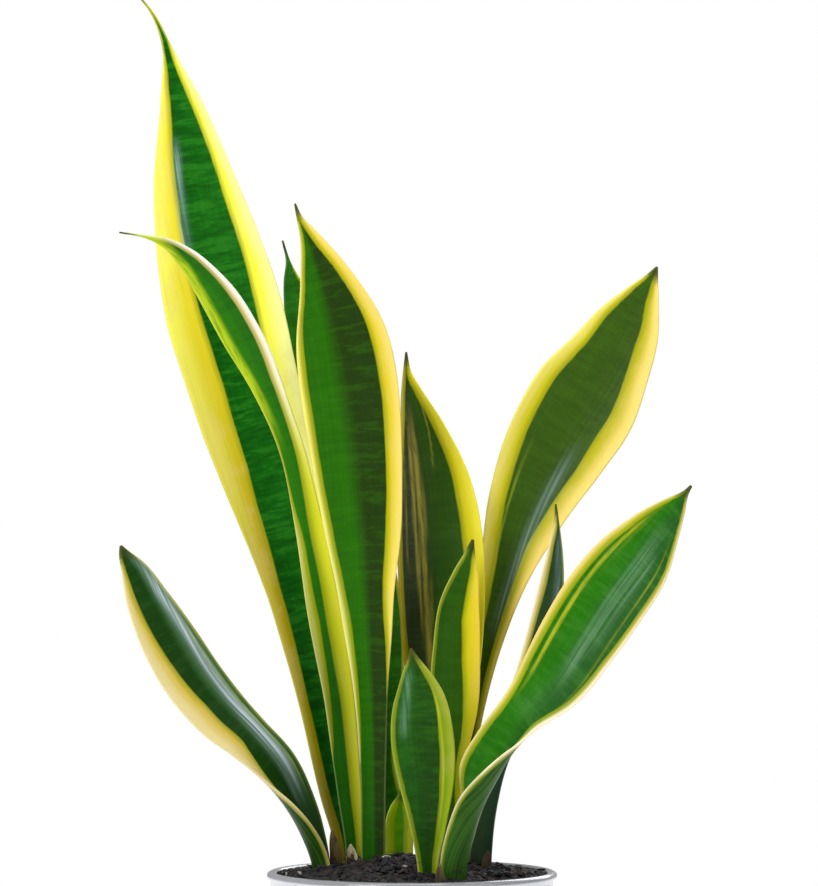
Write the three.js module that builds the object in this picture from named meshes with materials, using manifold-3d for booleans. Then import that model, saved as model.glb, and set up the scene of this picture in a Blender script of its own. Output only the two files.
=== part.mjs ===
// A potted snake plant: twelve stiff, variegated leaves that rise from one rhizome in a mound of potting mix,
// in a plain round pot with a rolled rim. Millimetres, +Z up, +X to the right seen from the front (-Y).
// The origin is the centre of the pot's flat underside.
import * as THREE from "three";
import { mergeVertices } from "three/addons/utils/BufferGeometryUtils.js";
import Module from "manifold-3d";

const wasm = await Module();
wasm.setup();

// ---------------------------------------------------------------- driving dimensions
const POT_HEIGHT = 150; // top of the rim
const POT_RIM_RADIUS = 87; // outside of the rolled rim
const POT_FOOT_RADIUS = 66; // outside of the wall at the foot
const POT_WALL = 4;
const POT_FLOOR = 6;
const RIM_ROLL = 2.2; // how far the rim stands out from the wall, and half its height
const SOIL_BELOW_RIM = 1.7; // at the pot's wall
const SOIL_MOUND = 10; // rise of the potting mix from the wall to the middle
const GAP = 0.3; // between touching pieces
const SOCKET_GAP = 0.5; // between the potting mix and what stands in it
const ROUND_STEPS = 48; // segments round the pot and the soil

const LEAF_ACROSS = 6; // segments across a leaf
const LEAF_ALONG = 20; // segments from base to tip
const LEAF_THICK = 5.2; // at the midrib, at the base
const LEAF_THIN = 2.4; // at the midrib, near the tip
const LEAF_EDGE = 0.9; // at the margins
const TIP_FULLNESS = 1.2; // a leaf is never thicker than this times its half-width

// ---------------------------------------------------------------- the leaves
// One row per station from the buried base to the tip:
// [x, y, height above the pot's rim, half-width along the arc, turn, cup]
// turn is how far the upper face is turned from the front (-Y), towards +X, in degrees.
// cup is how far the section curls up on each side of the midrib, in degrees.
const LEAVES = {
  leaf_tall_left: [
    [-39, 38, -30, 10, 8, 62],
    [-39, 40, 13, 10.5, 8, 62],
    [-43.7, 42, 42, 14.5, 8, 55],
    [-54, 46, 102, 18.2, 8, 45],
    [-66.5, 50, 162, 22.7, 8, 36],
    [-82.6, 55, 222, 30.3, 9, 30],
    [-101.5, 61, 283, 35, 10, 26],
    [-118, 68, 344, 37, 12, 24],
    [-132.5, 76, 406, 28.5, 12, 24],
    [-143.5, 84, 468, 13, 12, 26],
    [-151.5, 89, 502, 3, 12, 20],
    [-159, 90, 520, 1.2, 12, 10],
    [-171, 90, 536, 0.5, 12, 10],
  ],
  leaf_curled_left: [
    [-33.8, 23, -30, 7.6, 0, 60],
    [-33.8, 23, 13, 7.6, 0, 60],
    [-37.4, 22, 43, 8.2, 0, 52],
    [-43.1, 22, 95, 9.8, 0, 46],
    [-52.6, 21, 156, 11.4, -8, 42],
    [-62.1, 18, 211, 9.4, -18, 40],
    [-73, 13, 259, 9.4, -26, 38],
    [-86, 8, 292, 11.6, -30, 36],
    [-101.2, 2, 323, 14.6, -30, 34],
    [-116.3, -5, 348, 13.2, -30, 34],
    [-133, -12, 367, 8.2, -32, 30],
    [-147, -18, 376.2, 3.4, -30, 20],
    [-158, -22, 379.5, 1.1, -30, 10],
    [-174, -28, 382, 0.5, -30, 10],
  ],
  leaf_broad_centre: [
    [-23, 1, -30, 8.5, -4, 62],
    [-23, 0, 15, 8.5, -4, 62],
    [-23.1, -3, 66, 9, -4, 55],
    [-24.6, -6, 117, 12.4, -4, 48],
    [-26.7, -9, 162, 18, -5, 42],
    [-28.4, -12, 202, 24.1, -6, 38],
    [-31.9, -15, 249, 29.3, -8, 34],
    [-37, -18, 295, 31.1, -8, 32],
    [-42.8, -21, 327, 27.5, -8, 32],
    [-51.8, -25, 357, 16.3, -8, 32],
    [-62, -29, 381.5, 5.4, -8, 28],
    [-67, -31, 391, 1.8, -8, 20],
    [-69.5, -32, 399, 0.6, -8, 10],
  ],
  leaf_back_centre: [
    [-8, 53, -30, 9.5, 10, 62],
    [-9, 55, 13, 10, 10, 58],
    [-19, 58, 67, 8.6, 12, 50],
    [-20, 61, 110, 15.5, 14, 45],
    [-24.5, 65, 150, 19.5, 16, 42],
    [-35, 70, 200, 20.5, 20, 38],
    [-48, 77, 260, 20, 24, 36],
    [-59, 83, 302, 17, 26, 34],
    [-68.5, 88, 338, 13, 26, 32],
    [-74.4, 91, 357, 6, 26, 30],
    [-76.5, 93, 369, 1.6, 26, 20],
    [-80, 95, 382, 0.6, 26, 10],
  ],
  leaf_striped_centre: [
    [14, 12, -30, 9, 4, 60],
    [14.5, 12, 13, 9, 4, 60],
    [16, 13, 55, 11.5, 4, 54],
    [17.5, 14, 103, 22, 4, 42],
    [17.5, 16, 162, 27.5, 4, 36],
    [16, 18, 198, 27.5, 4, 34],
    [12, 21, 235, 23, 5, 32],
    [5.7, 25, 265, 14.4, 6, 32],
    [-0.3, 29, 287, 7, 6, 30],
    [-3, 31, 300, 2.6, 6, 20],
    [-3.5, 32, 312, 0.6, 6, 10],
  ],
  leaf_inner_centre: [
    [23, -8, -30, 7.5, 10, 60],
    [23, -8, 13, 7.5, 10, 60],
    [21.5, -7, 61, 10.6, 10, 54],
    [24, -6, 103, 16.4, 12, 44],
    [25.4, -5, 133, 16, 14, 38],
    [27.4, -4, 160, 13.4, 16, 36],
    [31.6, -3, 178, 8.6, 18, 34],
    [34.2, -2, 189, 4, 18, 24],
    [36.5, -2, 199, 0.8, 18, 10],
  ],
  leaf_short_front: [
    [10, -38, -30, 7.4, 0, 58],
    [9.6, -38, 7, 7.4, 0, 56],
    [9.8, -40, 28, 11.4, -2, 46],
    [8.8, -44, 57, 17.4, -4, 36],
    [6.4, -48, 84, 19.6, -6, 32],
    [4.8, -52, 108, 15.6, -8, 32],
    [2.2, -55, 122, 8.6, -8, 30],
    [0.6, -57, 130, 3.4, -8, 20],
    [-0.8, -58, 136, 0.6, -8, 10],
  ],
  leaf_tall_right: [
    [29, 28, -30, 8.5, -10, 62],
    [29, 28, 13, 8.5, -10, 62],
    [31, 29, 55, 8.2, -10, 60],
    [37.2, 31, 100, 9.4, -10, 56],
    [46.3, 34, 139, 11.7, -10, 50],
    [57.8, 38, 180, 17.8, -10, 42],
    [70.6, 43, 217.5, 26.4, -8, 36],
    [88.5, 49, 254, 33.6, -6, 32],
    [106.2, 54, 283, 34.8, -6, 30],
    [122.3, 59, 309.5, 27, -6, 30],
    [132.5, 63, 329, 20.8, -6, 30],
    [141.4, 67, 346.5, 11.4, -6, 28],
    [147.5, 70, 358.5, 4, -6, 20],
    [150.5, 71, 365, 0.6, -6, 10],
  ],
  leaf_broad_right: [
    [29, -55, -30, 12, -132, 70],
    [28.5, -56, 8, 13.4, -130, 72],
    [35.5, -58, 31, 18, -108, 80],
    [45.4, -61, 56, 25, -74, 88],
    [56.4, -64, 80, 20.9, -54, 66],
    [64.4, -67, 94, 17.7, -38, 48],
    [82, -71, 115, 22.5, -24, 36],
    [99, -77, 142, 25.4, -18, 31],
    [115.2, -83, 167.5, 25.8, -14, 28],
    [132.4, -89, 191, 22.6, -12, 28],
    [144.6, -94, 208.5, 14.8, -12, 28],
    [154, -98, 221, 6.8, -12, 26],
    [159, -101, 228, 1.9, -12, 20],
    [162, -102, 232, 0.8, -12, 10],
  ],
  leaf_slim_right: [
    [39.5, 14, -30, 9, 28, 62],
    [39.5, 14, 10, 9.2, 28, 60],
    [42.4, 15, 40, 9.6, 28, 54],
    [48.5, 16, 65.5, 10, 30, 48],
    [59.5, 17, 92, 11.7, 32, 42],
    [70.3, 17, 119.5, 12.8, 34, 38],
    [78, 15, 148, 12.4, 36, 36],
    [82.8, 13, 172, 9.6, 36, 34],
    [85.6, 11, 193, 5.6, 36, 30],
    [87, 10, 208, 2, 36, 20],
    [86.5, 9, 220, 0.6, 36, 10],
  ],
  leaf_short_left: [
    [-56, 12.5, -29, 11.5, 92, 72],
    [-58.5, 12, 5, 16, 90, 74],
    [-65.5, 9, 24, 18.6, 80, 72],
    [-74.4, 5, 42, 19.4, 66, 66],
    [-85.2, 1, 60.5, 18.8, 46, 52],
    [-100.6, -4, 79, 17.2, 30, 40],
    [-115.2, -10, 94, 18.5, 22, 33],
    [-130.5, -17, 113.5, 19.2, 18, 30],
    [-145, -25, 138, 18.2, 16, 30],
    [-157.2, -32, 162, 14.2, 16, 30],
    [-165.5, -37, 181.5, 8.4, 16, 28],
    [-170.5, -40, 191, 3.6, 16, 20],
    [-172.5, -41, 196, 0.8, 16, 10],
  ],
  leaf_young_shoot: [
    [-8, 36, -24, 7, 0, 62],
    [-8, 36, 10, 9.8, 0, 56],
    [-8, 37, 24, 9.4, 0, 50],
    [-7.4, 38, 35, 6.4, 0, 40],
    [-6.4, 38.5, 43, 2.2, 0, 20],
    [-6, 39, 48, 0.6, 0, 10],
  ],
};

// Dry papery sheaths that stand round the leaf bases, in the same form as a leaf's rows.
const SHEATHS = {
  sheath_left: [
    [-46, 20, -14, 4, 20, 50],
    [-46.5, 20, 6, 4.2, 20, 50],
    [-47.5, 20, 16, 3, 20, 40],
    [-48.5, 20, 23, 0.6, 20, 10],
  ],
  sheath_inner: [
    [-36, 14.5, -14, 4.2, 0, 50],
    [-36, 14.5, 4, 4.4, 0, 50],
    [-36.5, 14, 10, 3.2, 0, 40],
    [-37, 13.5, 15, 0.6, 0, 10],
  ],
  sheath_right: [
    [44, 2, -14, 3.6, 20, 50],
    [44.3, 2, 3, 3.8, 20, 50],
    [44.8, 2, 8, 2.8, 20, 40],
    [45.6, 2, 12, 0.6, 20, 10],
  ],
  sheath_front: [
    [17, -66, -14, 3.6, -20, 50],
    [17, -66, 0, 3.8, -20, 50],
    [16.5, -66.5, 5, 2.6, -20, 40],
    [16, -67, 10, 0.6, -20, 10],
  ],
};
const SHEATH_THICK = 1.2;
const SHEATH_EDGE = 0.6;
const SHEATH_ALONG = 6;

// The rhizome's branches and roots: [x, y, depth below the rim, radius] along each.
const RHIZOME_DEPTH = 36;
const RHIZOME_BRANCHES = [
  [
    [-64, 12, RHIZOME_DEPTH, 5],
    [-57, 13, RHIZOME_DEPTH, 9.5],
    [-37, 31, RHIZOME_DEPTH, 10.5],
    [-8, 46, RHIZOME_DEPTH, 10.5],
    [29, 27, RHIZOME_DEPTH, 10],
    [40, 14, RHIZOME_DEPTH, 9.5],
    [47, 8, RHIZOME_DEPTH, 5],
  ],
  [
    [-37, 31, RHIZOME_DEPTH, 9],
    [-22.5, 2, RHIZOME_DEPTH, 9.5],
    [8, -36, RHIZOME_DEPTH, 9.5],
    [14, -43, RHIZOME_DEPTH, 5],
  ],
  [
    [25, 26, RHIZOME_DEPTH, 8],
    [17, 10, RHIZOME_DEPTH, 9.5],
    [21, -9, RHIZOME_DEPTH, 9.5],
    [28, -48, RHIZOME_DEPTH, 9.5],
    [29, -60, RHIZOME_DEPTH, 5],
  ],
];
const ROOTS = [
  [-52, 18, -44, 26],
  [-37, 30, -28, 42],
  [-8, 45, -14, 52],
  [20, 32, 30, 40],
  [40, 14, 48, 18],
  [22, -10, 42, -22],
  [27, -45, 30, -40],
  [6, -34, -8, -46],
  [-20, -2, -40, -20],
]; // [x, y] where each leaves the rhizome and [x, y] where it ends
const ROOT_RADIUS = 2;
const ROOT_END_DEPTH = 112;
const ROOT_SIDES = 6;
const RHIZOME_SIDES = 10;

const COLOURS = {
  leaf: 0x2f6a1c,
  sheath: 0x8a7748,
  soil: 0x231c1a,
  rhizome: 0xc79a55,
  pot: 0xf2f2f0,
};

// ---------------------------------------------------------------- curves through stations
const radians = THREE.MathUtils.degToRad;

// A smooth function through (knots[i], values[i]): cubic, with each slope a weighted mean of its neighbours'.
function smooth(knots, values) {
  const last = knots.length - 1;
  const rise = (i) => (values[i + 1] - values[i]) / (knots[i + 1] - knots[i]);
  const slopes = knots.map((_, i) => {
    if (i === 0) return rise(0);
    if (i === last) return rise(last - 1);
    const before = knots[i] - knots[i - 1];
    const after = knots[i + 1] - knots[i];
    return (rise(i - 1) * after + rise(i) * before) / (before + after);
  });
  return (t) => {
    let i = 0;
    while (i < last - 1 && t > knots[i + 1]) i += 1;
    const span = knots[i + 1] - knots[i];
    const s = (t - knots[i]) / span;
    return (
      values[i] * (2 * s ** 3 - 3 * s ** 2 + 1) +
      slopes[i] * span * (s ** 3 - 2 * s ** 2 + s) +
      values[i + 1] * (3 * s ** 2 - 2 * s ** 3) +
      slopes[i + 1] * span * (s ** 3 - s ** 2)
    );
  };
}

// The stations' columns as smooth functions of the distance along them, from 0 to 1.
function columns(rows) {
  const knots = [0];
  for (let i = 1; i < rows.length; i += 1) {
    const step = Math.hypot(...[0, 1, 2].map((k) => rows[i][k] - rows[i - 1][k]));
    knots.push(knots[i - 1] + step);
  }
  const length = knots[knots.length - 1];
  const shares = knots.map((k) => k / length);
  return rows[0].map((_, column) => smooth(shares, rows.map((row) => row[column])));
}

// ---------------------------------------------------------------- solids
// A closed surface through rings of points, all with the same number of points, with a flat cap at each end.
function loft(rings) {
  const size = rings[0].length;
  const points = rings.flat();
  const triangles = [];
  for (let r = 0; r < rings.length - 1; r += 1) {
    for (let i = 0; i < size; i += 1) {
      const j = (i + 1) % size;
      const [a, b] = [r * size + i, r * size + j];
      triangles.push(a, b + size, b, a, a + size, b + size);
    }
  }
  const end = (rings.length - 1) * size;
  for (const [first, turned] of [[0, true], [end, false]]) {
    const middle = points.length;
    const centre = new THREE.Vector3();
    for (let i = 0; i < size; i += 1) centre.addScaledVector(points[first + i], 1 / size);
    points.push(centre);
    for (let i = 0; i < size; i += 1) {
      const [a, b] = [first + i, first + ((i + 1) % size)];
      triangles.push(...(turned ? [middle, a, b] : [middle, b, a]));
    }
  }
  const geometry = new THREE.BufferGeometry().setFromPoints(points);
  geometry.setIndex(triangles);
  return geometry;
}

// A leaf's solid. grow swells it on every side, for the socket that it stands in.
function blade(rows, { along = LEAF_ALONG, thick = LEAF_THICK, thin = LEAF_THIN, edge = LEAF_EDGE, grow = 0 } = {}) {
  const [x, y, up, halfWidth, turn, cup] = columns(rows);
  const place = (t) => new THREE.Vector3(x(t), y(t), POT_HEIGHT + up(t));
  const nudge = 0.002;
  const rings = [];
  for (let k = 0; k <= along; k += 1) {
    const t = k / along;
    const tangent = place(Math.min(1, t + nudge)).sub(place(Math.max(0, t - nudge))).normalize();
    const beyond = k === 0 ? -grow : k === along ? grow : 0;
    const centre = place(t).addScaledVector(tangent, beyond);
    const front = new THREE.Vector3(0, -1, 0).projectOnPlane(tangent).normalize();
    const normal = front.applyAxisAngle(tangent, radians(turn(t)));
    const side = new THREE.Vector3().crossVectors(tangent, normal).negate();
    const width = Math.max(0.5, halfWidth(t)) + grow;
    const curl = radians(Math.max(4, cup(t)));
    const middle = Math.min(thick + (thin - thick) * t, TIP_FULLNESS * width);
    const outline = (sign) => {
      const points = [];
      for (let i = 0; i <= LEAF_ACROSS; i += 1) {
        const u = (2 * i) / LEAF_ACROSS - 1;
        const angle = u * curl;
        const rim = Math.min(edge, middle);
        const half = (rim + (middle - rim) * (1 - Math.abs(u) ** 2.2)) / 2 + grow;
        const out = width / curl;
        points.push(
          centre
            .clone()
            .addScaledVector(side, Math.sin(angle) * (out - sign * half))
            .addScaledVector(normal, out - Math.cos(angle) * (out - sign * half)),
        );
      }
      return points;
    };
    rings.push([...outline(1), ...outline(-1).reverse()]);
  }
  return loft(rings);
}

// A round branch along rows of [x, y, depth, radius].
function branch(rows, steps, sides, grow) {
  const [x, y, depth, radius] = columns(rows);
  const place = (t) => new THREE.Vector3(x(t), y(t), POT_HEIGHT - depth(t));
  const nudge = 0.002;
  const rings = [];
  for (let k = 0; k <= steps; k += 1) {
    const t = k / steps;
    const tangent = place(Math.min(1, t + nudge)).sub(place(Math.max(0, t - nudge))).normalize();
    const across = new THREE.Vector3(0.31, 0.17, 1).cross(tangent).normalize();
    const upward = new THREE.Vector3().crossVectors(across, tangent);
    const beyond = k === 0 ? -grow : k === steps ? grow : 0;
    const centre = place(t).addScaledVector(tangent, beyond);
    const ring = [];
    for (let i = 0; i < sides; i += 1) {
      const angle = (2 * Math.PI * i) / sides;
      ring.push(
        centre
          .clone()
          .addScaledVector(across, Math.cos(angle) * (radius(t) + grow))
          .addScaledVector(upward, Math.sin(angle) * (radius(t) + grow)),
      );
    }
    rings.push(ring);
  }
  return loft(rings);
}

function solidOf(geometry) {
  const bare = new THREE.BufferGeometry().setAttribute("position", geometry.getAttribute("position"));
  bare.setIndex(geometry.index);
  const merged = mergeVertices(bare, 1e-4);
  return new wasm.Manifold(
    new wasm.Mesh({
      numProp: 3,
      vertProperties: new Float32Array(merged.attributes.position.array),
      triVerts: new Uint32Array(merged.index.array),
    }),
  );
}

function geometryOf(solid) {
  const mesh = solid.getMesh();
  const geometry = new THREE.BufferGeometry();
  geometry.setAttribute("position", new THREE.BufferAttribute(new Float32Array(mesh.vertProperties), 3));
  geometry.setIndex(new THREE.BufferAttribute(new Uint32Array(mesh.triVerts), 1));
  return geometry;
}

const joined = (solids) => solids.reduce((whole, solid) => whole.add(solid));

// A solid of revolution about Z from [radius, height] points that start and end on the axis.
function turned(profile) {
  const points = profile.map(([radius, height]) => new THREE.Vector2(radius, height));
  return new THREE.LatheGeometry(points, ROUND_STEPS).rotateX(Math.PI / 2);
}

// ---------------------------------------------------------------- the pot
const wallTop = POT_HEIGHT - 2 * RIM_ROLL;
const wallRadius = POT_RIM_RADIUS - RIM_ROLL; // of the wall's outside, under the rim
const innerTop = wallRadius - POT_WALL;
const innerFoot = POT_FOOT_RADIUS - POT_WALL;
const FOOT_ROUND = 2;

function potProfile() {
  const rollMiddle = (POT_RIM_RADIUS + innerTop) / 2;
  const rollHalf = (POT_RIM_RADIUS - innerTop) / 2;
  const roll = [];
  const steps = 8;
  for (let i = 0; i <= steps; i += 1) {
    const angle = (Math.PI * i) / steps;
    roll.push([rollMiddle + rollHalf * Math.cos(angle), POT_HEIGHT - RIM_ROLL + RIM_ROLL * Math.sin(angle)]);
  }
  return [
    [0, 0],
    [POT_FOOT_RADIUS - FOOT_ROUND, 0],
    [POT_FOOT_RADIUS, FOOT_ROUND],
    [wallRadius, wallTop],
    ...roll,
    [innerTop, wallTop],
    [innerFoot, POT_FLOOR + FOOT_ROUND],
    [innerFoot - FOOT_ROUND, POT_FLOOR],
    [0, POT_FLOOR],
  ];
}

// ---------------------------------------------------------------- the potting mix
const soilEdge = POT_HEIGHT - SOIL_BELOW_RIM;
const soilRadius = innerTop - GAP;

// Height of the mound at a share of the soil's radius: a smooth bell, flat at the middle and at the wall.
const moundHeight = (share) => soilEdge + (SOIL_MOUND * (1 + Math.cos(Math.PI * share))) / 2;

function soilProfile() {
  const steps = 7;
  const mound = [];
  for (let i = 0; i <= steps; i += 1) {
    const share = 1 - i / steps;
    mound.push([soilRadius * share, moundHeight(share)]);
  }
  return [
    [0, POT_FLOOR + GAP],
    [innerFoot - FOOT_ROUND - GAP, POT_FLOOR + GAP],
    [innerFoot - GAP, POT_FLOOR + FOOT_ROUND + GAP],
    [soilRadius, wallTop],
    ...mound,
  ];
}

// ---------------------------------------------------------------- the rhizome with its roots
function rhizomeSolid(grow) {
  const branches = RHIZOME_BRANCHES.map((rows) =>
    solidOf(branch(rows, 3 * rows.length, RHIZOME_SIDES, grow)),
  );
  const roots = ROOTS.map(([x0, y0, x1, y1]) => {
    const rows = [
      [x0, y0, RHIZOME_DEPTH, ROOT_RADIUS],
      [x1, y1, ROOT_END_DEPTH, ROOT_RADIUS / 2],
    ];
    return solidOf(branch(rows, 1, ROOT_SIDES, grow));
  });
  return joined([...branches, ...roots]);
}

// ---------------------------------------------------------------- assembly
const plant = new THREE.Group();

function addPiece(name, geometry, colour, roughness) {
  const material = new THREE.MeshStandardMaterial({ color: colour, roughness, metalness: 0 });
  const mesh = new THREE.Mesh(geometry, material);
  mesh.name = name;
  plant.add(mesh);
}

const SHEATH_FORM = { along: SHEATH_ALONG, thick: SHEATH_THICK, thin: SHEATH_THICK, edge: SHEATH_EDGE };

const rhizomeRoom = rhizomeSolid(GAP);
const sockets = [];
for (const [name, rows] of Object.entries(LEAVES)) {
  const leaf = solidOf(blade(rows)).subtract(rhizomeRoom);
  addPiece(name, geometryOf(leaf), COLOURS.leaf, 0.4);
  sockets.push(solidOf(blade(rows, { grow: SOCKET_GAP })));
}
for (const [name, rows] of Object.entries(SHEATHS)) {
  addPiece(name, blade(rows, SHEATH_FORM), COLOURS.sheath, 0.8);
  sockets.push(solidOf(blade(rows, { ...SHEATH_FORM, grow: SOCKET_GAP })));
}
addPiece("rhizome", geometryOf(rhizomeSolid(0)), COLOURS.rhizome, 0.7);
addPiece("pot", turned(potProfile()), COLOURS.pot, 0.2);

const soil = solidOf(turned(soilProfile())).subtract(joined([rhizomeRoom, ...sockets]));
addPiece("soil", geometryOf(soil), COLOURS.soil, 0.95);

export default plant;
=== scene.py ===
"""The looks of a potted snake plant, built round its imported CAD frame.

Every leaf is grown again from the same stations as its solid, as a fine mesh that carries its own measures:
how far a point is from the midrib, the margins, the base and the tip. The materials read those measures.
Lengths in the tables are millimetres and heights are above the pot's rim; Blender's own are metres.
"""

import math
import random

import bpy
import numpy as np
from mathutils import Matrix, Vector


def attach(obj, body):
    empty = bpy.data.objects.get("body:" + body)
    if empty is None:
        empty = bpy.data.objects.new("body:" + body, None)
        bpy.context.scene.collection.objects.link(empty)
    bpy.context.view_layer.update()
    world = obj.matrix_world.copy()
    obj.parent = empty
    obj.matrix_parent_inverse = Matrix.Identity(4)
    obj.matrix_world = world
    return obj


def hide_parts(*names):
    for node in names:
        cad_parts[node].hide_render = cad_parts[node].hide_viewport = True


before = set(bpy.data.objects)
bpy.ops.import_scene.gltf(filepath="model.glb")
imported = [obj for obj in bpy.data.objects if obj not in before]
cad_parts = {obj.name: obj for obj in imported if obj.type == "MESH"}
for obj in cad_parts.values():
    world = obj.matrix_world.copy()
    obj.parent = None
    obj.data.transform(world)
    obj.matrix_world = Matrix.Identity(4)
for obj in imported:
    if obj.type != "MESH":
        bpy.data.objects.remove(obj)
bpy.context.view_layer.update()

MM = 0.001
POT_HEIGHT = 150.0
POT_RIM_RADIUS = 87.0
POT_FOOT_RADIUS = 66.0
POT_WALL = 4.0
POT_FLOOR = 6.0
FOOT_ROUND = 2.0
RIM_ROLL = 2.2
WALL_RADIUS = POT_RIM_RADIUS - RIM_ROLL
WALL_TOP = POT_HEIGHT - 2 * RIM_ROLL
INNER_TOP_RADIUS = WALL_RADIUS - POT_WALL
INNER_FOOT_RADIUS = POT_FOOT_RADIUS - POT_WALL
GAP = 0.3  # between the mix and the pot
SOIL_BELOW_RIM = 1.7
SOIL_MOUND = 10.0
SOIL_RADIUS = INNER_TOP_RADIUS - GAP
CHIPS = 3600

# A blade's thickness in the middle at the base, in the middle near the tip and at the margins, and the least
# that half its width may be.
LEAF_FORM = (5.2, 2.4, 0.9, 0.5)
SHEATH_FORM = (0.9, 0.6, 0.4, 0.35)
CHUBBIEST = 1.2  # a blade is never thicker than this times its half-width

CAMERA_DISTANCE = 3.1
CAMERA_X = -0.0018
CAMERA_ABOVE_RIM = 0.2568
VIEW_WIDTH = 0.5316  # what the camera sees of the plane through the pot's axis, across the lens's sensor
SENSOR = 36

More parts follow.
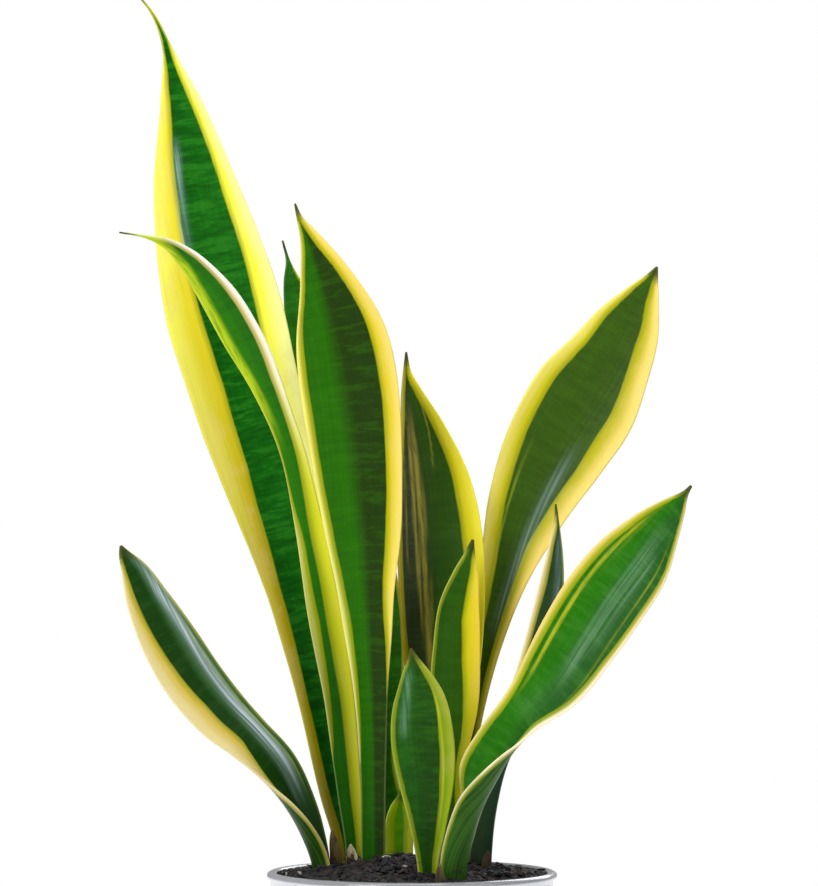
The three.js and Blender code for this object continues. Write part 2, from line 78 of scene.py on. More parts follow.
# [x, y, height above the rim, half-width along the arc, turn, cup], from the buried base to the tip.
LEAVES = {
    "leaf_tall_left": [
        [-39, 38, -30, 10, 8, 62],
        [-39, 40, 13, 10.5, 8, 62],
        [-43.7, 42, 42, 14.5, 8, 55],
        [-54, 46, 102, 18.2, 8, 45],
        [-66.5, 50, 162, 22.7, 8, 36],
        [-82.6, 55, 222, 30.3, 9, 30],
        [-101.5, 61, 283, 35, 10, 26],
        [-118, 68, 344, 37, 12, 24],
        [-132.5, 76, 406, 28.5, 12, 24],
        [-143.5, 84, 468, 13, 12, 26],
        [-151.5, 89, 502, 3, 12, 20],
        [-159, 90, 520, 1.2, 12, 10],
        [-171, 90, 536, 0.5, 12, 10],
    ],
    "leaf_curled_left": [
        [-33.8, 23, -30, 7.6, 0, 60],
        [-33.8, 23, 13, 7.6, 0, 60],
        [-37.4, 22, 43, 8.2, 0, 52],
        [-43.1, 22, 95, 9.8, 0, 46],
        [-52.6, 21, 156, 11.4, -8, 42],
        [-62.1, 18, 211, 9.4, -18, 40],
        [-73, 13, 259, 9.4, -26, 38],
        [-86, 8, 292, 11.6, -30, 36],
        [-101.2, 2, 323, 14.6, -30, 34],
        [-116.3, -5, 348, 13.2, -30, 34],
        [-133, -12, 367, 8.2, -32, 30],
        [-147, -18, 376.2, 3.4, -30, 20],
        [-158, -22, 379.5, 1.1, -30, 10],
        [-174, -28, 382, 0.5, -30, 10],
    ],
    "leaf_broad_centre": [
        [-23, 1, -30, 8.5, -4, 62],
        [-23, 0, 15, 8.5, -4, 62],
        [-23.1, -3, 66, 9, -4, 55],
        [-24.6, -6, 117, 12.4, -4, 48],
        [-26.7, -9, 162, 18, -5, 42],
        [-28.4, -12, 202, 24.1, -6, 38],
        [-31.9, -15, 249, 29.3, -8, 34],
        [-37, -18, 295, 31.1, -8, 32],
        [-42.8, -21, 327, 27.5, -8, 32],
        [-51.8, -25, 357, 16.3, -8, 32],
        [-62, -29, 381.5, 5.4, -8, 28],
        [-67, -31, 391, 1.8, -8, 20],
        [-69.5, -32, 399, 0.6, -8, 10],
    ],
    "leaf_back_centre": [
        [-8, 53, -30, 9.5, 10, 62],
        [-9, 55, 13, 10, 10, 58],
        [-19, 58, 67, 8.6, 12, 50],
        [-20, 61, 110, 15.5, 14, 45],
        [-24.5, 65, 150, 19.5, 16, 42],
        [-35, 70, 200, 20.5, 20, 38],
        [-48, 77, 260, 20, 24, 36],
        [-59, 83, 302, 17, 26, 34],
        [-68.5, 88, 338, 13, 26, 32],
        [-74.4, 91, 357, 6, 26, 30],
        [-76.5, 93, 369, 1.6, 26, 20],
        [-80, 95, 382, 0.6, 26, 10],
    ],
    "leaf_striped_centre": [
        [14, 12, -30, 9, 4, 60],
        [14.5, 12, 13, 9, 4, 60],
        [16, 13, 55, 11.5, 4, 54],
        [17.5, 14, 103, 22, 4, 42],
        [17.5, 16, 162, 27.5, 4, 36],
        [16, 18, 198, 27.5, 4, 34],
        [12, 21, 235, 23, 5, 32],
        [5.7, 25, 265, 14.4, 6, 32],
        [-0.3, 29, 287, 7, 6, 30],
        [-3, 31, 300, 2.6, 6, 20],
        [-3.5, 32, 312, 0.6, 6, 10],
    ],
    "leaf_inner_centre": [
        [23, -8, -30, 7.5, 10, 60],
        [23, -8, 13, 7.5, 10, 60],
        [21.5, -7, 61, 10.6, 10, 54],
        [24, -6, 103, 16.4, 12, 44],
        [25.4, -5, 133, 16, 14, 38],
        [27.4, -4, 160, 13.4, 16, 36],
        [31.6, -3, 178, 8.6, 18, 34],
        [34.2, -2, 189, 4, 18, 24],
        [36.5, -2, 199, 0.8, 18, 10],
    ],
    "leaf_short_front": [
        [10, -38, -30, 7.4, 0, 58],
        [9.6, -38, 7, 7.4, 0, 56],
        [9.8, -40, 28, 11.4, -2, 46],
        [8.8, -44, 57, 17.4, -4, 36],
        [6.4, -48, 84, 19.6, -6, 32],
        [4.8, -52, 108, 15.6, -8, 32],
        [2.2, -55, 122, 8.6, -8, 30],
        [0.6, -57, 130, 3.4, -8, 20],
        [-0.8, -58, 136, 0.6, -8, 10],
    ],
    "leaf_tall_right": [
        [29, 28, -30, 8.5, -10, 62],
        [29, 28, 13, 8.5, -10, 62],
        [31, 29, 55, 8.2, -10, 60],
        [37.2, 31, 100, 9.4, -10, 56],
        [46.3, 34, 139, 11.7, -10, 50],
        [57.8, 38, 180, 17.8, -10, 42],
        [70.6, 43, 217.5, 26.4, -8, 36],
        [88.5, 49, 254, 33.6, -6, 32],
        [106.2, 54, 283, 34.8, -6, 30],
        [122.3, 59, 309.5, 27, -6, 30],
        [132.5, 63, 329, 20.8, -6, 30],
        [141.4, 67, 346.5, 11.4, -6, 28],
        [147.5, 70, 358.5, 4, -6, 20],
        [150.5, 71, 365, 0.6, -6, 10],
    ],
    "leaf_broad_right": [
        [29, -55, -30, 12, -132, 70],
        [28.5, -56, 8, 13.4, -130, 72],
        [35.5, -58, 31, 18, -108, 80],
        [45.4, -61, 56, 25, -74, 88],
        [56.4, -64, 80, 20.9, -54, 66],
        [64.4, -67, 94, 17.7, -38, 48],
        [82, -71, 115, 22.5, -24, 36],
        [99, -77, 142, 25.4, -18, 31],
        [115.2, -83, 167.5, 25.8, -14, 28],
        [132.4, -89, 191, 22.6, -12, 28],
        [144.6, -94, 208.5, 14.8, -12, 28],
        [154, -98, 221, 6.8, -12, 26],
        [159, -101, 228, 1.9, -12, 20],
        [162, -102, 232, 0.8, -12, 10],
    ],
    "leaf_slim_right": [
        [39.5, 14, -30, 9, 28, 62],
        [39.5, 14, 10, 9.2, 28, 60],
        [42.4, 15, 40, 9.6, 28, 54],
        [48.5, 16, 65.5, 10, 30, 48],
        [59.5, 17, 92, 11.7, 32, 42],
        [70.3, 17, 119.5, 12.8, 34, 38],
        [78, 15, 148, 12.4, 36, 36],
        [82.8, 13, 172, 9.6, 36, 34],
        [85.6, 11, 193, 5.6, 36, 30],
        [87, 10, 208, 2, 36, 20],
        [86.5, 9, 220, 0.6, 36, 10],
    ],
    "leaf_short_left": [
        [-56, 12.5, -29, 11.5, 92, 72],
        [-58.5, 12, 5, 16, 90, 74],
        [-65.5, 9, 24, 18.6, 80, 72],
        [-74.4, 5, 42, 19.4, 66, 66],
        [-85.2, 1, 60.5, 18.8, 46, 52],
        [-100.6, -4, 79, 17.2, 30, 40],
        [-115.2, -10, 94, 18.5, 22, 33],
        [-130.5, -17, 113.5, 19.2, 18, 30],
        [-145, -25, 138, 18.2, 16, 30],
        [-157.2, -32, 162, 14.2, 16, 30],
        [-165.5, -37, 181.5, 8.4, 16, 28],
        [-170.5, -40, 191, 3.6, 16, 20],
        [-172.5, -41, 196, 0.8, 16, 10],
    ],
    "leaf_young_shoot": [
        [-8, 36, -24, 7, 0, 62],
        [-8, 36, 10, 9.8, 0, 56],
        [-8, 37, 24, 9.4, 0, 50],
        [-7.4, 38, 35, 6.4, 0, 40],
        [-6.4, 38.5, 43, 2.2, 0, 20],
        [-6, 39, 48, 0.6, 0, 10],
    ],
}

SHEATHS = {
    "sheath_left": [
        [-46, 20, -14, 4, 20, 50],
        [-46.5, 20, 6, 4.2, 20, 50],
        [-47.5, 20, 16, 3, 20, 40],
        [-48.5, 20, 23, 0.6, 20, 10],
    ],
    "sheath_inner": [
        [-36, 14.5, -14, 4.2, 0, 50],
        [-36, 14.5, 4, 4.4, 0, 50],
        [-36.5, 14, 10, 3.2, 0, 40],
        [-37, 13.5, 15, 0.6, 0, 10],
    ],
    "sheath_right": [
        [44, 2, -14, 3.6, 20, 50],
        [44.3, 2, 3, 3.8, 20, 50],
        [44.8, 2, 8, 2.8, 20, 40],
        [45.6, 2, 12, 0.6, 20, 10],
    ],
    "sheath_front": [
        [17, -66, -14, 3.6, -20, 50],
        [17, -66, 0, 3.8, -20, 50],
        [16.5, -66.5, 5, 2.6, -20, 40],
        [16, -67, 10, 0.6, -20, 10],
    ],
}

# How each leaf is coloured.
# left and right: the yellow margins' widths, [height above the rim, mm], measured along the surface.
# high and low: the margins' colours near the tip and near the base, as left edge, left inner side,
# right edge, right inner side. turnover is the heights between which low becomes high.
# shade: the green left and right of a line, where the line runs across at the base and at the tip, and how
# soft it is; the darker green is painted shade, the half of the folded blade turned from the light. Across
# is -1 at the left margin and 1 at the right one.
# light and bands: the cross bands' colour and strength. mottle: how blotched the yellow is.
# stripes and sheens: [height, across, height, across, mm wide, strength], fading out at both heights. The
# sheens are painted highlights in lengthwise streaks, partly a waxy bloom. Some leaves have a stripe and a
# sheen colour of their own.
# deep: painted shade at the foot, where the leaves crowd: below the first height the leaf is darkest and
# above the second it isn't darkened; then how much of the green and of the yellow is left.
LOOKS = {
    "leaf_tall_left": dict(
        left=[(0, 6.5), (75, 7), (99, 6.5), (124, 7.4), (148, 8.6), (173, 10.4), (197, 13.6), (222, 16.6),
              (246, 20.3), (271, 22), (295, 24), (320, 24), (344, 22.5), (375, 19.5), (405, 16), (436, 11),
              (467, 6.5), (491, 2), (500, 0.6)],
        right=[(26, 6), (99, 8), (150, 10), (197, 13), (246, 15), (295, 17), (344, 16), (375, 13),
               (405, 11.4), (436, 8.4), (467, 7), (491, 4.4), (505, 1)],
        high=((252, 248, 100), (234, 218, 40), (255, 254, 150), (250, 246, 60)),
        # low's right colours are lifted above the margin's own yellow: painted light against the shade near
        # the foot
        low=((204, 190, 64), (170, 144, 4), (255, 255, 180), (255, 250, 84)),
        turnover=(120, 400), base_shade=(60, 260, 0.62, 0.88),
        shade=((8, 84, 6), (16, 98, 8), (0, 0), 1.2),
        light=(40, 124, 24), bands=0.55, mottle=0.6,
        stripes=[], blooms_and_sheens=[(360, -0.4, 450, -0.36, 5, 0.55)],
    ),
    "leaf_curled_left": dict(
        left=[(40, -3), (60, -1), (78, 1.6), (102, 3.4), (126, 5.2), (150, 6.2), (174, 5), (198, 3.8),
              (222, 1.2), (235, 0.7), (330, 0.8), (378, 0.8)],
        right=[(0, 7), (54, 8), (102, 8.6), (126, 10), (150, 10.8), (174, 10.4), (198, 9.8), (222, 8.8),
               (246, 7.6), (271, 7), (319, 7.2), (343, 7.4), (362, 5), (374, 2), (380, 0.6)],
        # high's near-white right edge is a painted highlight, the edge catching the light, over a pale
        # margin
        high=((236, 240, 160), (196, 216, 40), (252, 250, 238), (228, 200, 140)),
        low=((206, 210, 110), (180, 190, 22), (220, 220, 40), (176, 186, 2)),
        turnover=(230, 340), base_shade=(90, 230, 0.6, 0.66),
        shade=((40, 116, 0), (28, 100, 2), (-0.2, -0.2), 0.9),
        light=(44, 122, 8), bands=0.2, mottle=0.2,
        stripes=[(250, -0.98, 440, -0.8, 9, 0.75)], blooms_and_sheens=[],
        stripe=(200, 222, 36),
    ),
    "leaf_broad_centre": dict(
        left=[(0, -3), (40, -2), (79, 0.8), (103, 2.2), (127, 3.6), (151, 4.8), (222, 4.8), (270, 5),
              (318, 4.4), (342, 3), (372, 2), (390, 0.8)],
        right=[(80, -3), (118, 0.6), (135, 2.8), (151, 5.6), (175, 8.6), (199, 9.8), (246, 11), (294, 12),
               (318, 11.5), (342, 9.5), (372, 6.5), (382, 4.5), (391, 1.5), (396, 0.6)],
        high=((240, 232, 110), (188, 186, 30), (242, 216, 106), (214, 194, 16)),
        low=((232, 230, 130), (160, 180, 20), (238, 220, 104), (204, 190, 20)),
        turnover=(150, 260),
        shade=((36, 102, 0), (32, 58, 4), (0.18, -0.32), 0.42),
        light=(56, 122, 10), bands=0.18, mottle=0.3,
        stripes=[], blooms_and_sheens=[],
    ),
    "leaf_back_centre": dict(
        left=[(0, 2), (40, 1.6), (80, -1), (380, -1)],
        right=[(0, 2), (60, 1), (120, 1), (300, 2), (360, 1), (375, -1)],
        high=((150, 176, 70), (110, 150, 20), (226, 222, 130), (190, 190, 40)),
        low=((196, 206, 70), (150, 184, 10), (206, 206, 90), (150, 180, 20)),
        turnover=(60, 160),
        shade=((28, 104, 4), (34, 96, 6), (0, 0), 1),
        light=(50, 126, 12), bands=0.4, mottle=0.2,
        stripes=[], blooms_and_sheens=[],
    ),
    "leaf_striped_centre": dict(
        left=[(0, 3), (150, 3.2), (240, 3), (290, 2), (305, 0.8)],
        right=[(0, 4), (40, 5), (100, 8), (150, 11), (174, 12), (198, 12.6), (222, 12), (246, 9),
               (271, 6.2), (295, 4), (302, 2), (308, 0.6)],
        high=((226, 212, 110), (200, 180, 50), (248, 236, 60), (224, 210, 10)),
        low=((206, 168, 30), (150, 130, 10), (214, 200, 30), (196, 190, 10)),
        turnover=(140, 240),
        shade=((50, 60, 34), (48, 86, 16), (-0.3, -0.3), 0.9),
        light=(70, 104, 34), bands=0.16, mottle=0.25,
        stripes=[(90, -0.28, 290, -0.44, 3.4, 0.85), (130, -0.44, 284, -0.62, 2.2, 0.8),
                 (170, -0.72, 262, -0.8, 1.2, 0.45), (236, 0.04, 292, 0.5, 1.1, 0.6),
                 (120, -0.18, 250, -0.3, 0.9, 0.4)],
        blooms_and_sheens=[],
        stripe=(168, 154, 62),
    ),
    "leaf_inner_centre": dict(
        left=[(0, 1.6), (60, 1.8), (120, 2), (180, 2), (195, 0.8)],
        right=[(0, 3), (40, 4), (80, 6), (100, 9), (127, 11), (151, 11), (172, 7), (186, 3), (194, 0.8)],
        high=((150, 168, 50), (110, 140, 10), (232, 204, 50), (212, 204, 10)),
        low=((150, 170, 40), (110, 150, 10), (190, 176, 20), (160, 172, 6)),
        turnover=(60, 140),
        shade=((42, 92, 4), (46, 84, 6), (0, 0), 1),
        light=(54, 112, 12), bands=0.2, mottle=0.2,
        stripes=[], blooms_and_sheens=[],
    ),
    "leaf_short_front": dict(
        left=[(0, 2), (60, 2.4), (100, 2), (130, 1)],
        right=[(0, 3), (10, 4), (34, 6), (58, 9), (82, 9.4), (105, 7), (120, 4), (131, 1.4)],
        high=((120, 150, 36), (96, 134, 20), (150, 164, 40), (118, 146, 4)),
        low=((150, 180, 50), (120, 160, 10), (156, 184, 16), (116, 150, 4)),
        turnover=(30, 100),
        shade=((34, 92, 18), (28, 72, 6), (-0.3, -0.3), 0.8),
        light=(48, 106, 14), bands=0.4, mottle=0.3,
        stripes=[(20, 0.62, 118, 0.6, 1.4, 0.5)], blooms_and_sheens=[(80, -0.6, 128, -0.5, 5, 0.5)],
        bloom_and_sheen=(124, 168, 136),
    ),
    "leaf_tall_right": dict(
        left=[(0, 1), (90, 2), (115, 4), (150, 8), (200, 11), (246, 12), (271, 12), (295, 10), (320, 7.4),
              (344, 4), (356, 2), (362, 0.8)],
        right=[(0, 2), (50, 3), (100, 3.4), (125, 4.5), (149, 6.5), (173, 9), (197, 13), (222, 14),
               (246, 15), (271, 17), (295, 15.5), (320, 14), (344, 9), (356, 4), (362, 1)],
        high=((244, 230, 110), (208, 198, 4), (240, 212, 112), (180, 172, 6)),
        low=((214, 206, 60), (160, 168, 6), (228, 206, 80), (166, 160, 10)),
        turnover=(90, 220),
        shade=((54, 88, 14), (50, 78, 16), (0, 0), 1),
        light=(66, 106, 22), bands=0.2, mottle=0.35,
        stripes=[(150, -0.46, 270, -0.5, 1, 0.3)], blooms_and_sheens=[(130, 0.26, 268, 0.3, 6, 0.35)],
    ),
    "leaf_broad_right": dict(
        left=[(0, 2), (40, 3), (94, 3.8), (130, 4.4), (170, 5.2), (200, 5.2), (215, 3), (226, 1)],
        right=[(0, 2), (60, 2.4), (90, 6), (120, 5), (150, 3.6), (200, 3), (220, 1.4), (228, 0.6)],
        high=((234, 210, 120), (186, 192, 6), (250, 230, 180), (180, 176, 50)),
        low=((226, 214, 120), (176, 190, 10), (252, 234, 200), (120, 150, 40)),
        turnover=(80, 160),
        shade=((36, 112, 2), (30, 88, 22), (0.05, 0.05), 1),
        light=(74, 134, 50), bands=0.22, mottle=0.3,
        stripes=[(96, -0.66, 222, -0.62, 2, 0.75), (104, 0.7, 212, 0.66, 1.1, 0.35),
                 (150, -0.5, 214, -0.5, 1, 0.35)],
        blooms_and_sheens=[(110, 0.16, 216, 0.1, 7, 0.5), (130, 0.42, 205, 0.36, 3.4, 0.4)],
        bloom_and_sheen=(136, 172, 140),
        stripe=(196, 196, 40),
    ),
    "leaf_slim_right": dict(
        left=[(40, -3), (60, -1), (80, 2.5), (100, 4), (125, 5), (148, 5.4), (172, 5.4), (195, 3),
              (210, 1)],
        right=[(0, -3), (80, -1), (150, 0.5), (200, 0.6)],
        high=((244, 226, 160), (206, 186, 84), (150, 170, 150), (90, 120, 80)),
        low=((220, 206, 140), (160, 156, 60), (80, 100, 60), (60, 80, 40)),
        turnover=(70, 120),
        shade=((38, 66, 24), (38, 70, 44), (0.2, 0.2), 1),
        light=(60, 92, 60), bands=0.14, mottle=0.2,
        stripes=[], blooms_and_sheens=[(150, 0.5, 206, 0.5, 4, 0.3)],
    ),
    "leaf_short_left": dict(
        left=[(0, 2), (30, 2.4), (45, 4), (55, 7), (67, 10.5), (79, 14), (103, 15.6), (127, 13), (151, 9.5),
              (175, 5), (188, 1.6), (194, 0.8)],
        right=[(0, 0.8), (60, 0.4), (100, 0.4), (170, 0.9), (190, 0.6)],
        high=((238, 222, 158), (214, 186, 62), (206, 204, 130), (150, 160, 60)),
        low=((226, 208, 150), (196, 180, 90), (196, 196, 130), (120, 140, 60)),
        turnover=(50, 90),
        shade=((14, 58, 0), (50, 90, 44), (0.3, 0.3), 0.35),
        light=(54, 96, 40), bands=0.16, mottle=0.5,
        stripes=[(30, 0.82, 160, 0.8, 1, 0.4)],
        blooms_and_sheens=[(30, 0.58, 196, 0.74, 5, 1), (30, 0.3, 100, 0.6, 5, 0.25)],
        bloom_and_sheen=(198, 214, 222),
    ),
    "leaf_young_shoot": dict(
        left=[(0, 6), (20, 6), (36, 4), (44, 1)],
        right=[(0, 6), (20, 6), (36, 4), (44, 1)],
        high=((170, 196, 30), (130, 176, 2), (190, 200, 40), (140, 176, 4)),
        low=((186, 204, 20), (150, 190, 2), (206, 206, 30), (160, 190, 4)),
        turnover=(5, 30),
        shade=((84, 150, 2), (70, 136, 2), (0, 0), 1),
        light=(120, 176, 4), bands=0.2, mottle=0.2,
        stripes=[], blooms_and_sheens=[],
    ),
}


# the usual painted shade at the foot of a leaf
USUAL_BASE_SHADE = (0, 90, 0.8, 0.9)
USUAL_STRIPE = (206, 222, 60)
# the usual colour of the painted sheen of highlights, partly a waxy bloom
USUAL_BLOOM_AND_SHEEN = (168, 196, 196)


# ---------------------------------------------------------------- curves through stations
def smooth(knots, values):
    """A cubic through (knots[i], values[i]), each slope a weighted mean of its neighbours'."""
    knots, values = np.array(knots, float), np.array(values, float)
    steps = np.diff(knots)
    rises = np.diff(values) / steps
    slopes = np.empty_like(values)
    slopes[0], slopes[-1] = rises[0], rises[-1]
    slopes[1:-1] = (rises[:-1] * steps[1:] + rises[1:] * steps[:-1]) / (steps[1:] + steps[:-1])

    def at(t):
        i = np.clip(np.searchsorted(knots, t, side="left") - 1, 0, len(steps) - 1)
        s = (t - knots[i]) / steps[i]
        return (
            values[i] * (2 * s**3 - 3 * s**2 + 1)
            + slopes[i] * steps[i] * (s**3 - 2 * s**2 + s)
            + values[i + 1] * (3 * s**2 - 2 * s**3)
            + slopes[i + 1] * steps[i] * (s**3 - s**2)
        )

    return at


def between(pairs, t):
    """The value at t of straight lines through (t, value) pairs."""
    return np.interp(t, [p[0] for p in pairs], [p[1] for p in pairs])


def smoothstep(x, low, high):
    s = np.clip((x - low) / (high - low), 0, 1)
    return s * s * (3 - 2 * s)


# ---------------------------------------------------------------- repeatable noise
def lattice(ix, iy, seed):
    """A value from 0 to 1 for each whole (ix, iy)."""
    h = (ix.astype(np.int64) * 374761393 + iy.astype(np.int64) * 668265263 + seed * 982451653) & 0x7FFFFFFF
    h = ((h ^ (h >> 13)) * 1274126177) & 0x7FFFFFFF
    return ((h ^ (h >> 16)) & 0xFFFF) / 65535.0


def noise(x, y, seed=0):
    """Smooth value noise from -1 to 1 with a cell of 1."""
    x, y = np.asarray(x, float), np.asarray(y, float)
    ix, iy = np.floor(x), np.floor(y)
    fx, fy = x - ix, y - iy
    fx, fy = fx * fx * (3 - 2 * fx), fy * fy * (3 - 2 * fy)
    a, b = lattice(ix, iy, seed), lattice(ix + 1, iy, seed)
    c, d = lattice(ix, iy + 1, seed), lattice(ix + 1, iy + 1, seed)
    return 2 * ((a * (1 - fx) + b * fx) * (1 - fy) + (c * (1 - fx) + d * fx) * fy) - 1


# ---------------------------------------------------------------- meshes
def make_mesh(name, points, faces, attributes=None, smooth_shaded=True):
    """A mesh object from points in millimetres and faces of indices, with vertex attributes."""
    mesh = bpy.data.meshes.new(name)
    mesh.from_pydata((np.asarray(points) * MM).tolist(), [], faces)
    mesh.validate()
    for key, values in (attributes or {}).items():
        values = np.asarray(values, np.float32)
        if values.ndim == 2:
            layer = mesh.attributes.new(key, "FLOAT_VECTOR", "POINT")
            layer.data.foreach_set("vector", values.ravel())
        else:
            layer = mesh.attributes.new(key, "FLOAT", "POINT")
            layer.data.foreach_set("value", values)
    mesh.polygons.foreach_set("use_smooth", [smooth_shaded] * len(mesh.polygons))
    thing = bpy.data.objects.new(name, mesh)
    bpy.context.scene.collection.objects.link(thing)
    return thing


def tube_faces(rings, size):
    """Quads over rings of size points each, closed at both ends with a fan to one added point."""
    r = np.arange(rings - 1)[:, None] * size
    i = np.arange(size)[None, :]
    j = (i + 1) % size
    quads = np.stack([r + i, r + j, r + j + size, r + i + size], -1).reshape(-1, 4).tolist()
    first, last = rings * size, rings * size + 1
    end = (rings - 1) * size
    for k in range(size):
        n = (k + 1) % size
        quads.append([first, n, k])
        quads.append([last, end + k, end + n])
    return quads


def station_columns(rows):
    """Each column of the rows as a smooth function of the share of the length, and the length."""
    rows = np.array(rows, float)
    steps = np.linalg.norm(np.diff(rows[:, :3], axis=0), axis=1)
    knots = np.concatenate([[0], np.cumsum(steps)])
    return [smooth(knots / knots[-1], rows[:, c]) for c in range(6)], knots[-1]


def grow_blade(name, rows, form, look=None, along=260, across=44, seed=0):
    """A leaf or sheath as a closed fine mesh, with its measures as attributes."""
    thick, thin, edge, least = form
    (x, y, up, half_width, turn, cup), length = station_columns(rows)
    t = np.linspace(0, 1, along + 1)

    def place(s):
        return np.stack([x(s), y(s), POT_HEIGHT + up(s)], -1)

    nudge = 0.002
    tangent = place(np.minimum(1, t + nudge)) - place(np.maximum(0, t - nudge))
    tangent /= np.linalg.norm(tangent, axis=1)[:, None]
    front = np.array([0.0, -1.0, 0.0]) + tangent * tangent[:, 1:2]
    front /= np.linalg.norm(front, axis=1)[:, None]
    angle = np.radians(turn(t))[:, None]
    normal = front * np.cos(angle) + np.cross(tangent, front) * np.sin(angle)
    side = np.cross(tangent, normal)

    width = np.maximum(least, half_width(t))
    curl = np.radians(np.maximum(4, cup(t)))
    middle = np.minimum(thick + (thin - thick) * t, CHUBBIEST * width)
    rim = np.minimum(edge, middle)

    # across from -1 (left) to 1 (right), closer together at the edges, where the section rounds off
    s = np.linspace(-1, 1, across + 1)
    u = np.sin(s * math.pi / 2) * 0.35 + s * 0.65
    rounding = (rim / 2)[:, None] / width[:, None]
    inside = np.clip((np.abs(u)[None] - (1 - rounding)) / rounding, 0, 1)
    taper = np.sqrt(np.clip(1 - inside**2, 0, 1))
    half = (rim[:, None] + (middle - rim)[:, None] * (1 - np.abs(u)[None] ** 2.2)) / 2 * taper

    # slow waves of the edges and shallow furrows along the blade
    run = t * length
    wave = noise(run[:, None] / 34 + 7 * seed, np.sign(u)[None] * 3.0 + 0.5, seed) * np.abs(u)[None] ** 3
    furrow = noise(u[None] * width[:, None] / 2.6 + 40, run[:, None] / 130, seed + 5)
    lift = 0.9 * wave * smoothstep(t, 0.12, 0.4)[:, None] * smoothstep(1 - t, 0.0, 0.15)[:, None]
    relief = min(1.0, thick / 4)
    lift = lift * relief

    radius = (width / curl)[:, None]
    bend = u[None] * curl[:, None]
    centre = place(t)

    def face(sign):
        ridged = half + (0.07 if sign < 0 else 0.04) * furrow * taper * relief
        r = radius - sign * ridged - lift
        return (
            centre[:, None]
            + side[:, None] * (np.sin(bend) * r)[..., None]
            + normal[:, None] * (radius - np.cos(bend) * r)[..., None]
        )

    upper, outer = face(1), face(-1)
    rings = np.concatenate([upper, outer[:, -2:0:-1]], axis=1)
    size = rings.shape[1]
    points = rings.reshape(-1, 3)
    points = np.vstack([points, rings[0].mean(0), rings[-1].mean(0)])

    def all_round(grid, first, last):
        both = np.concatenate([grid, grid[:, -2:0:-1]], axis=1).reshape(-1)
        return np.concatenate([both, [first, last]])

    u_grid = np.repeat(u[None], along + 1, 0)
    w_grid = np.repeat(width[:, None], across + 1, 1)
    run_grid = np.repeat(run[:, None], across + 1, 1)
    t_grid = np.repeat(t[:, None], across + 1, 1)
    edge_mm = (1 - np.abs(u_grid)) * w_grid
    upper_side = np.concatenate([np.ones((along + 1, across + 1)), np.zeros((along + 1, across - 1))], 1)
    attributes = {
        "place": np.stack(
            [
                all_round(u_grid * w_grid * MM, 0, 0),
                all_round(run_grid * MM, 0, length * MM),
                np.full(len(points), seed * 0.37),
            ],
            -1,
        ),
        "across": all_round(u_grid, 0, 0),
        "edge": all_round(edge_mm, 0, 0),
        "tip": all_round(length - run_grid, length, 0),
        "height": points[:, 2] - POT_HEIGHT,
        "upper": np.concatenate([upper_side.reshape(-1), [0, 0]]),
    }
    if look:
        rise = up(t)
        left, right = between(look["left"], rise), between(look["right"], rise)
        from_left = (1 + u_grid) * w_grid - left[:, None]
        from_right = (1 - u_grid) * w_grid - right[:, None]
        attributes["green"] = all_round(np.minimum(from_left, from_right), 0, 0)
        low, high = look["shade"][2]
        attributes["split"] = all_round(u_grid - (low + (high - low) * t_grid), 0, 0)
        rise_grid = np.repeat(rise[:, None], across + 1, 1)
        # the stripes, and the sheens: painted highlights in lengthwise streaks, partly a waxy bloom
        for key, marks in (("stripe", look["stripes"]), ("bloom_and_sheen", look["blooms_and_sheens"])):
            total = np.zeros_like(u_grid)
            for begin, near, end, far, mm, strength in marks:
                share = np.clip((rise_grid - begin) / (end - begin), 0, 1)
                off = np.abs(u_grid - near - (far - near) * share) * w_grid
                reach = smoothstep(share, 0, 0.25) * (1 - smoothstep(share, 0.75, 1))
                if key == "stripe":
                    mark = 1 - smoothstep(off, mm * 0.2, mm * 0.7)
                else:
                    mark = np.exp(-((off / (0.5 * mm)) ** 2))
                total = np.maximum(total, mark * reach * strength)
            attributes[key] = all_round(total, 0, 0)
    return make_mesh(name, points, tube_faces(along + 1, size), attributes)


# ---------------------------------------------------------------- shader building
def linear(rgb):
    """An sRGB colour with channels from 0 to 255 as Blender's linear RGBA."""
    out = []
    for c in rgb:
        c /= 255
        out.append(c / 12.92 if c <= 0.04045 else ((c + 0.055) / 1.055) ** 2.4)
    return (*out, 1.0)


